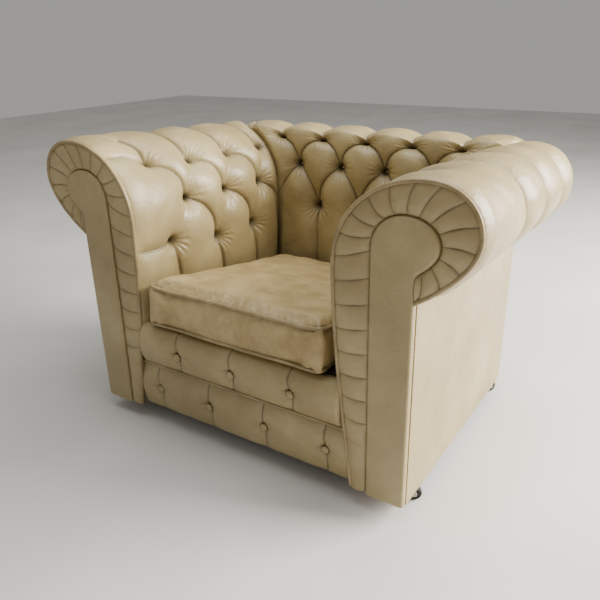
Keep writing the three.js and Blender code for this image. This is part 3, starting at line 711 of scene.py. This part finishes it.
def arm_band():
    """The gathered band from the facing out to the piping, closed at its back."""
    count = 841
    outer = resample(face_scroll, count)
    inner_line = keyhole[keyhole[:, 1] > 0.0428]
    inner = resample(inner_line, count)
    # each pleat runs from one outline to the other, so the legs' ends are matched, then the heads'
    leg_out = np.argmax(outer[:, 1] >= inner_shoulder) / (count - 1)
    leg_in = np.argmax(inner[:, 1] >= keyhole_shoulder) / (count - 1)
    share = np.linspace(0, 1, count)
    remapped = np.interp(share, [0, leg_out, 1], [0, leg_in, 1])
    inner = resample(inner_line, at=remapped * arc_length(inner_line))
    rows, hollow = [], []
    arc = share * arc_length(face_scroll)
    leg_arc = leg_out * arc_length(face_scroll)
    start, pleat = 0.105, 0.0495  # where the first pleat lies, and from one to the next
    leg_phase = np.clip((arc - start) / pleat, 0, None)
    head_phase = (leg_arc - start) / pleat + (arc - leg_arc) / pleat
    phase = np.where(arc < leg_arc, leg_phase, head_phase)
    gathered = np.clip((arc - start) / 0.03, 0, 1)
    for a in np.linspace(0, 1, 15):
        line = inner + (outer - inner) * a
        lean = -0.42 * a + 0.05 * math.sin(a * math.pi)
        wave = pleat_wave(phase + lean)
        swell = math.sin(math.pi * a) ** 0.55
        full = 0.0008 + 0.0085 * wave * gathered + 0.0075 * (1 - gathered)
        y = front_y - (full * swell + 0.0010)
        rows.append(np.stack([side_x + line[:, 0], y, line[:, 1]], 1))
        # painted shade in each pleat's crease, where the pleat folds under
        hollow.append(np.clip(1.0 - wave * 1.9, 0, 1) * 0.9 * gathered)
    front = np.stack(rows)
    back = front[::2, ::2].copy()
    back[:, :, 1] = front_y + 0.0035
    return closed_grid("pleated_band_right", front, back, np.stack(hollow), 2)


band = arm_band()
band_left = mirrored(band, "pleated_band_left")
print("band faces", len(band.data.polygons))


# %% [markdown]
# The facing is a board wrapped in thin wadding and hide, nailed over the pleat ends. It is made as
# one face, given thickness, and its front edge is rounded with a bevel, as the wadding rounds it.

# %% Arm facing
def facing():
    """The keyhole board: outline face extruded back, front edge rounded."""
    foot_z, thick = 0.0385, 0.0203
    outline = from_bottom(resample(keyhole, 90), foot_z)
    outline[:, 1] = np.maximum(outline[:, 1], foot_z)
    mesh = bpy.data.meshes.new("arm_front_facing_right")
    y = front_y - 0.0100
    mesh.from_pydata([(side_x + u, y, z) for u, z in outline], [], [tuple(range(len(outline)))])
    made = in_scene("arm_front_facing_right", mesh)
    select_only(made)
    bpy.ops.object.mode_set(mode="EDIT")
    bpy.ops.mesh.select_all(action="SELECT")
    bpy.ops.mesh.remove_doubles(threshold=0.0004)
    bpy.ops.mesh.select_all(action="SELECT")
    bpy.ops.mesh.extrude_region_move(TRANSFORM_OT_translate={"value": (0, thick, 0)})
    bpy.ops.mesh.select_all(action="SELECT")
    bpy.ops.mesh.normals_make_consistent(inside=False)
    bpy.ops.object.mode_set(mode="OBJECT")
    for v in made.data.vertices:
        v.select = False
    for edge in made.data.edges:
        edge.select = all(made.data.vertices[i].co.y < y + 1e-5 for i in edge.vertices)
    bpy.ops.object.mode_set(mode="EDIT")
    bpy.ops.mesh.bevel(offset=0.0068, segments=5, affect="EDGES")
    bpy.ops.object.mode_set(mode="OBJECT")
    bpy.ops.object.shade_smooth_by_angle(angle=math.radians(35))
    made.select_set(False)
    return made


face_right = facing()
face_left = mirrored(face_right, "arm_front_facing_left")
print("facing box", [round(v, 3) for v in face_right.dimensions])


# %% [markdown]
# ## Piping
#
# Piping is a strip of hide folded round a cord and caught in a seam. It runs round the rim of each
# arm front, along the seam between the two front borders and round the seat cushion. Each is a
# curve laid along its seam, given a round thickness and closed ends, and turned into a mesh.

# %% Tubes
def tube(name, path, radius, closed=False):
    """A round tube along a path: a curve given thickness, then turned into a closed mesh."""
    curve = bpy.data.curves.new(name, "CURVE")
    curve.dimensions = "3D"
    curve.bevel_depth, curve.bevel_resolution, curve.use_fill_caps = radius, 3, True
    spline = curve.splines.new("POLY")
    spline.points.add(len(path) - 1)
    for point, place in zip(spline.points, path):
        point.co = (*place, 1)
    spline.use_cyclic_u = closed
    select_only(in_scene(name, curve))
    bpy.ops.object.convert(target="MESH")
    made = bpy.context.object
    bpy.ops.object.mode_set(mode="EDIT")
    bpy.ops.mesh.select_all(action="SELECT")
    bpy.ops.mesh.remove_doubles(threshold=0.00005)
    bpy.ops.mesh.normals_make_consistent(inside=False)
    bpy.ops.object.mode_set(mode="OBJECT")
    bpy.ops.object.shade_smooth()
    made.select_set(False)
    return made


piping_r = 0.0042
rim_line = resample(face_scroll, 260)
rim_line = rim_line[rim_line[:, 1] > 0.044]
rim_line = rim_line - left_normals(rim_line) * 0.0012  # set a little inside the rim
rim_path = [(side_x + u, front_y - 0.0040, z) for u, z in rim_line]
arm_piping = tube("rim_piping_right", rim_path, piping_r)
arm_piping_left = mirrored(arm_piping, "rim_piping_left")
print("rim piping length", round(arc_length(np.array(rim_path)), 3))


# %% [markdown]
# ## Front and seat borders
#
# Under the cushion the front is two padded strips, one over the other. Each is held by a row of
# buttons, and a pleat runs through every button from seam to seam. They are made like the pads:
# one height rule over a grid, with the pleats slightly bowed, as hand-laid pleats are.

# %% Borders
def border(name, z_low, z_high, y_face, half, pleats, button_z, puff, seed):
    """A padded strip across the front, a pleat through each button, and the buttons' places."""
    step = 0.0024
    xs = np.linspace(-half, half, 2 * int(half / step) + 1)
    zs = np.linspace(z_low, z_high, 2 * int((z_high - z_low) / step / 2) + 1)
    x, z = np.meshgrid(xs, zs)
    v = (z - z_low) / (z_high - z_low)
    swell = np.sin(math.pi * np.clip(v, 0, 1)) ** 0.42
    crowd = np.zeros(x.shape)
    rng = np.random.default_rng(seed)
    height = np.zeros(x.shape)
    line = np.zeros(x.shape)
    for bx in pleats:
        bows = rng.uniform(0.4, 1, 2) * (1, -1)
        for low, high, bow in ((0.0, 0.5, bows[0]), (0.5, 1.0, bows[1])):
            inside = np.clip((v - low) / (high - low), 0, 1)
            fold = bx + 0.007 * bow * np.sin(math.pi * inside)
            on = (v >= low) & (v <= high)
            d = x - fold
            crowd += np.where(on, np.exp(-np.abs(d) / 0.012), 0)
            height += np.where(on & (d > 0), 0.0035 * np.exp(-d / 0.014), 0)
            line = np.maximum(line, np.where(on, np.exp(-((d / 0.0019) ** 2)), 0))
    height += puff * np.exp(-crowd) - 0.002 * line
    # painted shade: a dark line along each pleat
    dark = 0.7 * line
    for bx in pleats:
        dx, dz = x - bx, z - button_z
        r, angle = np.hypot(dx, dz), np.arctan2(dz, dx)
        height -= 0.007 * np.exp(-((r / 0.016) ** 2))
        # painted shade in the pit round each button
        dark = np.maximum(dark, 0.8 * np.exp(-((r / 0.011) ** 4)))
        turn = rng.uniform(0, 6.28)
        fan = np.sin(13 * angle + turn + 70 * r)
        height += 0.0010 * fan * np.exp(-(((r - 0.020) / 0.013) ** 2))
    height += 0.0008 * np.sin(x * 83 + seed + 1.5 * np.sin(z * 60)) * np.sin(z * 47)
    ends = np.clip((half - np.abs(x)) / 0.008, 0, 1) ** 0.5
    y = y_face - height * swell * ends + 0.010 * (1 - swell)
    front = np.stack([x, y, z], 2)
    back = front[::2, ::2].copy()
    back[:, :, 1] = y_face + 0.0225
    hollow = np.clip(np.clip((crowd - 0.5) / 1.5, 0, 1) * 0.3 + dark, 0, 1)
    obj = closed_grid(name, front, back, hollow, 2)
    places = []
    for bx in pleats:
        sunk = -height[np.argmin(np.abs(zs - button_z)), np.argmin(np.abs(xs - bx))]
        places.append(((bx, y_face + sunk - 0.0084, button_z), (0, -1, 0)))
    return obj, places


low_box, seat_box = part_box("front_border"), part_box("seat_border")
lower, lower_places = border(
    "lower_border", low_box[0].z, low_box[1].z - 0.0015, low_box[0].y + 0.006, low_box[1].x + 0.002,
    [-0.2475, -0.0825, 0.0825, 0.2475], 0.107, 0.0135, 4,
)
upper, upper_places = border(
    "seat_front_border", seat_box[0].z + 0.0015, seat_box[1].z, seat_box[0].y + 0.008,
    seat_box[1].x - 0.001, [-0.165, 0.0, 0.165], 0.226, 0.0145, 9,
)
lower_buttons = buttons_at("lower_border_buttons", lower_places)
upper_buttons = buttons_at("seat_border_buttons", upper_places)
seam_y = min(low_box[0].y, seat_box[0].y) + 0.012
seam_z = (low_box[1].z + seat_box[0].z) / 2
border_piping = tube(
    "border_piping",
    [(x, seam_y, seam_z) for x in np.linspace(-0.306, 0.306, 40)],
    0.0036,
)
print("border boxes", [round(c, 4) for c in low_box[0]], [round(c, 4) for c in seat_box[1]])


# %% [markdown]
# ## The seat cushion
#
# The cushion is a loose bag of hide over feather and foam: a top and a bottom panel joined by a
# border, with piping in both seams. It is crowned in the middle, thinner at the back where it is
# sat on, and its faces hold broad wrinkles that run to the corners. It is inflated by a cloth
# simulation and then creased in code, because the fine wrinkles are narrower than the
# simulation's mesh.

# %% Cushion outline
cushion_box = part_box("seat_cushion")
tilt = math.radians(-7)
cushion_w, cushion_d = 0.524, 0.584
low_seam_z = 0.006
pivot = (0.0, front_y - 0.012, 0.2945)


def cushion_place(local):
    """Points in the cushion's own frame, x across, y back, z up, set on the sloping deck."""
    p = np.array(local, float)
    c, s = math.cos(tilt), math.sin(tilt)
    x, y, z = p[..., 0], p[..., 1], p[..., 2]
    return np.stack([x, pivot[1] + y * c - z * s, pivot[2] + y * s + z * c], -1)


def plan_line(count, inset=0.0, corner=0.028):
    """The cushion's outline from above, once round, its sides drawn in between corners."""
    w, d = cushion_w / 2 - inset, cushion_d / 2 - inset
    points = []
    for cx, cy, start in ((w, d, 0), (-w, d, 90), (-w, -d, 180), (w, -d, 270)):
        ox, oy = cx - math.copysign(corner, cx), cy - math.copysign(corner, cy)
        for a in np.radians(np.linspace(start, start + 90, 12)):
            points.append((ox + corner * math.cos(a), oy + corner * math.sin(a)))
    points.append(points[0])
    line = resample(np.array(points), count + 1)[:-1]
    x, y = line[:, 0], line[:, 1]
    pull = 0.002 * np.cos(math.pi * y / (2 * d)) * (np.abs(x) > w - 0.05)
    x = x - np.sign(x) * pull
    y = y + cushion_d / 2
    front = np.clip(1 - y / 0.06, 0, 1)  # the front bulges out past the arm fronts
    y = y - front * (0.018 + 0.007 * np.cos(math.pi * x / (2 * w)))
    ear = np.clip((0.008 - y) / 0.020, 0, 1)  # and its corners spread there
    return np.stack([x + np.sign(x) * 0.015 * ear * (np.abs(x) > w - 0.06), y], 1)


def thickness(y):
    """Seam to seam thickness by distance from the front."""
    share = np.clip(y / cushion_d, 0, 1)
    return 0.106 - 0.028 * share**1.1


print("cushion box", [round(v, 3) for v in cushion_box[0]], [round(v, 3) for v in cushion_box[1]])


# %% Inflate the cushion
def bag():
    """The cushion before it is filled, a little smaller than its finished size."""
    line = plan_line(160, inset=0.006)
    n = len(line)
    low = [(x, y, low_seam_z) for x, y in line]
    high = [(x, y, float(thickness(y))) for x, y in line]
    sides = [(k, (k + 1) % n, n + (k + 1) % n, n + k) for k in range(n)]
    faces = sides + [tuple(range(n))[::-1], tuple(range(n, 2 * n))]
    return finish_mesh("cushion_bag", low + high, faces, smooth=False), line


def coordinates(mesh):
    """Where a mesh's points are, one row for each."""
    co = np.zeros(len(mesh.vertices) * 3, np.float32)
    mesh.vertices.foreach_get("co", co)
    return co.reshape(-1, 3).astype(float)


def apply_modifier(obj, kind, **values):
    """Adds a modifier with these values and applies it."""
    select_only(obj)
    mod = obj.modifiers.new(kind.title(), kind)
    for key, value in values.items():
        setattr(mod, key, value)
    bpy.ops.object.modifier_apply(modifier=mod.name)
    obj.select_set(False)


def inflate(obj, pressure, frames, cap):
    """Fills a closed bag: runs Cloth with inner pressure and keeps each point within cap."""
    before = coordinates(obj.data)
    mod = obj.modifiers.new("Cloth", "CLOTH")
    mod.settings.quality = 5
    mod.settings.use_pressure = True
    mod.settings.uniform_pressure_force = pressure
    mod.settings.effector_weights.gravity = 0
    mod.settings.tension_stiffness = mod.settings.compression_stiffness = 15
    mod.settings.bending_stiffness = 0.5
    mod.point_cache.frame_start, mod.point_cache.frame_end = 1, frames
    for f in range(1, frames + 1):
        bpy.context.scene.frame_set(f)
    shape = obj.evaluated_get(bpy.context.evaluated_depsgraph_get())
    after = coordinates(shape.data)
    obj.modifiers.remove(mod)
    bpy.context.scene.frame_set(1)
    move = after - before
    size = np.linalg.norm(move, axis=1, keepdims=True)
    move *= np.minimum(1, cap / np.maximum(size, 1e-9))
    obj.data.vertices.foreach_set("co", (before + move).astype(np.float32).ravel())
    obj.data.update()
    return before, before + move


cushion, seam_plan = bag()
apply_modifier(cushion, "REMESH", mode="VOXEL", voxel_size=0.006)
bag_before, bag_after = inflate(cushion, 4.0, 20, 0.014)
farthest = float(np.abs(bag_after - bag_before).max())
print("cushion bag points", len(bag_before), "moved", round(farthest, 4))


# %% Seams of the cushion
def seam_after(z_of):
    """Where a seam of the bag went when it was filled, smoothed along its length."""
    path = []
    for x, y in seam_plan:
        d = np.abs(bag_before - np.array([x, y, z_of(y)])).sum(1)
        path.append(bag_after[int(np.argmin(d))])
    path = np.array(path)
    for _ in range(3):
        path = (np.roll(path, 1, 0) + path * 2 + np.roll(path, -1, 0)) / 4
    return path


top_seam = seam_after(thickness)
low_seam = seam_after(lambda y: low_seam_z)
apply_modifier(cushion, "SUBSURF", levels=1, render_levels=1)


def near(points, path, chunk=20000):
    """Distance from each point to a path."""
    out = np.empty(len(points))
    for k in range(0, len(points), chunk):
        part = points[k : k + chunk, None, :] - path[None, :, :]
        out[k : k + chunk] = np.sqrt((part**2).sum(2)).min(1)
    return out


def hide_slack(p, middle_y):
    """Broad soft wrinkles of a filled hide, in metres out."""
    x, y = p[:, 0], p[:, 1] - middle_y
    bend = 0.05 * np.sin(9 * x + 1) + 0.04 * np.sin(11 * y + 2)
    first = np.sin(36 * (x + 0.55 * y + bend)) * np.sin(13 * (y - 0.3 * x) + 0.7)
    second = np.sin(52 * (y - 0.35 * x + 0.8 * bend) + 1.9) * np.sin(10 * x + 2.2)
    ridge = np.sign(first) * np.abs(first) ** 0.7
    fine = np.sin(120 * (x + 0.4 * y) + 6 * np.sin(21 * y + 1)) * np.sin(34 * y - 20 * x)
    return 0.0020 * ridge + 0.0016 * second + 0.0005 * fine


wrinkled = coordinates(cushion.data)
normals = np.zeros(len(wrinkled) * 3, np.float32)
cushion.data.vertices.foreach_get("normal", normals)
normals = normals.reshape(-1, 3).astype(float)
to_seam = np.minimum(near(wrinkled, top_seam), near(wrinkled, low_seam))
inward = np.clip(to_seam / 0.05, 0, 1)
crown = np.clip(near(wrinkled, top_seam) / 0.24, 0, 1)
up_face = np.clip(normals[:, 2], 0, 1)
out = hide_slack(wrinkled, cushion_d / 2) * inward * (0.35 + 0.65 * up_face)
out -= 0.0026 * np.exp(-((to_seam / 0.006) ** 2))
along = np.arctan2(wrinkled[:, 1] - cushion_d / 2, wrinkled[:, 0])
pucker = np.sin(150 * along + 2 * np.sin(9 * along)) * np.exp(-to_seam / 0.016)
out += 0.0007 * pucker
wrinkled += normals * out[:, None]
wrinkled[:, 2] += up_face * 0.012 * np.sin(crown * math.pi / 2)
wrinkled[:, 2] = np.maximum(wrinkled[:, 2], 0.0015)


def fit_width(points):
    """Presses the sides flat where they meet the arms, so that the cushion lifts clear of them."""
    limit = 0.262 + 0.021 * np.clip((0.002 - points[:, 1]) / 0.008, 0, 1)
    points[:, 0] = np.clip(points[:, 0], -limit, limit)
    return points


wrinkled = fit_width(wrinkled)
cushion.data.vertices.foreach_set("co", cushion_place(wrinkled).astype(np.float32).ravel())
# painted shade: the cover is darkened in the dip along each seam, beside the piping
layer = cushion.data.attributes.new("hollow", "FLOAT", "POINT")
layer.data.foreach_set("value", (0.45 * np.exp(-to_seam / 0.006)).astype(np.float32))
cushion.name = cushion.data.name = "seat_cushion_cover"
cushion.data.shade_smooth()
cushion.data.update()
print("cushion local box", wrinkled.min(0).round(3), wrinkled.max(0).round(3))


# %% Cushion piping
def cushion_piping(name, seam, drop):
    """Piping set a little outside a seam, level with it or dropped."""
    outward = seam - np.array([0, cushion_d / 2, 0.0])
    outward[:, 2] = 0
    outward /= np.linalg.norm(outward, axis=1)[:, None]
    path = fit_width(seam + outward * 0.0022)
    path[:, 2] = np.maximum(path[:, 2] + drop, piping_r + 0.001)
    return tube(name, cushion_place(path), piping_r, closed=True)


top_piping = cushion_piping("cushion_piping_top", top_seam, 0.0)
low_piping = cushion_piping("cushion_piping_bottom", low_seam, 0.002)
print("cushion piping length", round(arc_length(top_seam), 3))

# %% [markdown]
# ## Plain materials
#
# The rest of the chair keeps its CAD shape and gets its real finish. The outside panels are the
# same hide, stretched flat. The frame is planed beech, the springs are oiled steel, the castors
# are zinc-plated steel with moulded nylon wheels, and cambric closes the underside.

# %% Wood, steel, wheel and cloth
def streaked(name, stretch, mm, detail, stops):
    """A material with one noise run through a ramp; gives back what else is to be plugged."""
    material, tree, shader, where = new_material(name)
    if stretch:
        where = node(tree, "Mapping", {"Vector": where, "Scale": stretch}).outputs[0]
    grain = node(
        tree, "TexNoise",
        {"Vector": where, "Scale": 1000 / mm, "Detail": detail, "Roughness": 0.5},
    ).outputs["Fac"]
    colour = node(tree, "ValToRGB", {"Fac": grain}, stops=stops).outputs["Color"]
    plug(tree, shader, {"Base Color": colour})
    return material, tree, shader, grain


def beech():
    """Planed beech: pale pinkish brown, long grain with short dark flecks, matt."""
    stops = [(0.35, "a9835a"), (0.6, "c8a67c")]
    material, tree, shader, _ = streaked("planed_beech", (1.0, 1.0, 0.08), 7, 6, stops)
    plug(tree, shader, {"Roughness": 0.62})
    return material


def steel(name, low, high, rough):
    """Steel: fine drawing lines give it a soft streaked shine."""
    material, tree, shader, streak = streaked(name, None, 5, 4, [(0.3, low), (0.7, high)])
    gloss = node(
        tree, "MapRange", {"Value": streak, "To Min": rough, "To Max": rough + 0.2}
    ).outputs["Result"]
    plug(tree, shader, {"Metallic": 1.0, "Roughness": gloss})
    return material


def nylon():
    """Moulded nylon: near black, slightly scuffed, waxy shine."""
    stops = [(0.4, "1d1b19"), (0.7, "37332e")]
    material, tree, shader, _ = streaked("moulded_nylon", None, 9, 5, stops)
    plug(tree, shader, {"Roughness": 0.5})
    return material


def woven(name, dark, light, thread_mm):
    """Plain weave: two crossed sets of threads, drawn coarse enough to show."""
    material, tree, shader, where = new_material(name)
    split = node(tree, "SeparateXYZ", {"Vector": where})
    waves = []
    for axis in ("X", "Y"):
        scaled = node(
            tree, "Math", {0: split.outputs[axis], 1: math.pi * 1000 / thread_mm},
            operation="MULTIPLY",
        ).outputs[0]
        waves.append(node(tree, "Math", {0: scaled}, operation="SINE").outputs[0])
    both = node(
        tree, "Math", {0: waves[0], 1: waves[1]}, operation="MULTIPLY"
    ).outputs[0]
    colour = node(
        tree, "ValToRGB", {"Fac": both}, stops=[(0.0, dark), (0.8, light)]
    ).outputs["Color"]
    raised = node(
        tree, "Bump", {"Height": both, "Strength": 0.3, "Distance": 0.0005}
    ).outputs["Normal"]
    plug(tree, shader, {"Base Color": colour, "Normal": raised, "Roughness": 0.9})
    return material


finishes = {
    "leather": hide_tan,
    "beech": beech(),
    "spring_steel": steel("oiled_spring_steel", "3f3a34", "6d675f", 0.35),
    "castor_steel": steel("zinc_plated_steel", "8d8a82", "c9c7c0", 0.25),
    "castor_wheel": nylon(),
    "lining": woven("lining_cotton", "2a241b", "4c4334", 1.6),
    "cambric": woven("black_cambric", "131211", "2a2826", 1.4),
}
print("finishes", sorted(finishes))

# %% [markdown]
# ## Every piece in its place
#
# Each new piece rides on the body its CAD solid belongs to, takes its finish and stands for that
# solid. The padded ones say how tightly they are filled.

# %% Finish, body and place of every piece
on_chair = [
    (arm_cover, hide_tan, "arm_pad_right", 0.8),
    (arm_cover_left, hide_tan, "arm_pad_left", 0.8),
    (back_cover, hide_tan, "back_pad", 0.8),
    (band, hide_tan, "arm_band_right", 0.5),
    (band_left, hide_tan, "arm_band_left", 0.5),
    (face_right, hide_tan, "arm_facing_right", 0.7),
    (face_left, hide_tan, "arm_facing_left", 0.7),
    (arm_piping, hide_piping, "arm_piping_right", None),
    (arm_piping_left, hide_piping, "arm_piping_left", None),
    (lower, hide_tan, "front_border", 0.7),
    (upper, hide_tan, "seat_border", 0.7),
    (border_piping, hide_piping, None, None),
    (arm_buttons, hide_piping, None, None),
    (arm_buttons_left, hide_piping, None, None),
    (back_buttons, hide_piping, None, None),
    (lower_buttons, hide_tan, None, None),
    (upper_buttons, hide_tan, None, None),
]
on_cushion = [
    (cushion, hide_seat, "seat_cushion", 0.8),
    (top_piping, hide_piping, None, None),
    (low_piping, hide_piping, None, None),
]
pieces = [("chair", *row) for row in on_chair] + [("cushion", *row) for row in on_cushion]
for body, piece, finish, stands_for, fill in pieces:
    piece.data.materials.clear()
    piece.data.materials.append(finish)
    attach(piece, body)
    if stands_for:
        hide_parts(stands_for)
button_nodes = [n for n in frame["nodes"] if "_button_" in n]
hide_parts(*[n for n in button_nodes if n.startswith("lower")])
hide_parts(*[n for n in button_nodes if n.startswith("upper")])
print("pieces", len(pieces), "buttons replaced", len(button_nodes))

# %% CAD solids keep their shape
slots = {part["node"]: part["material_slot"] for part in frame["record"]["subparts"]}
for name, obj in frame["nodes"].items():
    if obj.hide_render:
        continue
    obj.data.materials.clear()
    obj.data.materials.append(finishes[slots[name]])
print("CAD slots used", sorted(set(slots.values())))

# %% [markdown]
# ## Floor, light and camera
#
# A pale floor and even daylight from the right show the depth of the buttoning: raking light
# catches the top of each puff and leaves the folds dark, on top of the shade painted into them.

# %% Floor
bpy.ops.mesh.primitive_plane_add(size=14, location=(0, 0, 0))
floor = bpy.context.object
floor.name = "studio_floor"
floor_tones = [(0.3, "c6c4c0"), (0.7, "d2d0cc")]
paint, tree, shader, _ = streaked("painted_floor", None, 500, 2, floor_tones)
plug(tree, shader, {"Roughness": 0.8})
floor.data.materials.append(paint)


# %% Light
def area_light(name, place, target, size, power, colour):
    """A rectangular light at a place, turned to a target."""
    light = bpy.data.lights.new(name, "AREA")
    light.shape, light.size, light.size_y = "RECTANGLE", size[0], size[1]
    light.energy, light.color = power, linear(colour)[:3]
    made = in_scene(name, light)
    made.location = place
    aim = np.array(target, float) - np.array(place, float)
    made.rotation_euler = mathutils.Vector(aim).to_track_quat("-Z", "Y").to_euler()


area_light("window", (2.5, 1.3, 1.5), (0, -0.05, 0.45), (2.0, 2.0), 430, "fffaf2")
area_light("room_fill", (-1.6, -2.6, 1.9), (0, 0, 0.4), (2.4, 2.0), 4, "fff3e2")
area_light("ceiling", (0.2, 0.1, 2.9), (0, 0, 0.3), (2.4, 2.4), 75, "ffffff")
world = bpy.data.worlds.new("pale_room")
bpy.context.scene.world = world
world.use_nodes = True
world.node_tree.nodes["Background"].inputs["Color"].default_value = linear("eceae6")
world.node_tree.nodes["Background"].inputs["Strength"].default_value = 0.44

# %% Camera
camera = in_scene("camera", bpy.data.cameras.new("camera"))
camera.data.lens, camera.data.sensor_width = 38.06, 36.0
yaw, pitch_down, roll = (math.radians(a) for a in (33.69, 22.887, -1.1875))
right = mathutils.Vector((math.cos(yaw), math.sin(yaw), 0))
level = math.cos(pitch_down)
ahead = mathutils.Vector((-math.sin(yaw) * level, math.cos(yaw) * level, -math.sin(pitch_down)))
up = right.cross(ahead)
across = math.cos(roll) * right + math.sin(roll) * up
upright = -math.sin(roll) * right + math.cos(roll) * up
facing_way = mathutils.Matrix((across, upright, -ahead)).transposed().to_4x4()
camera.matrix_world = mathutils.Matrix.Translation((0.846, -1.3655, 0.950)) @ facing_way
bpy.context.scene.camera = camera
print("camera at", [round(v, 3) for v in camera.location])
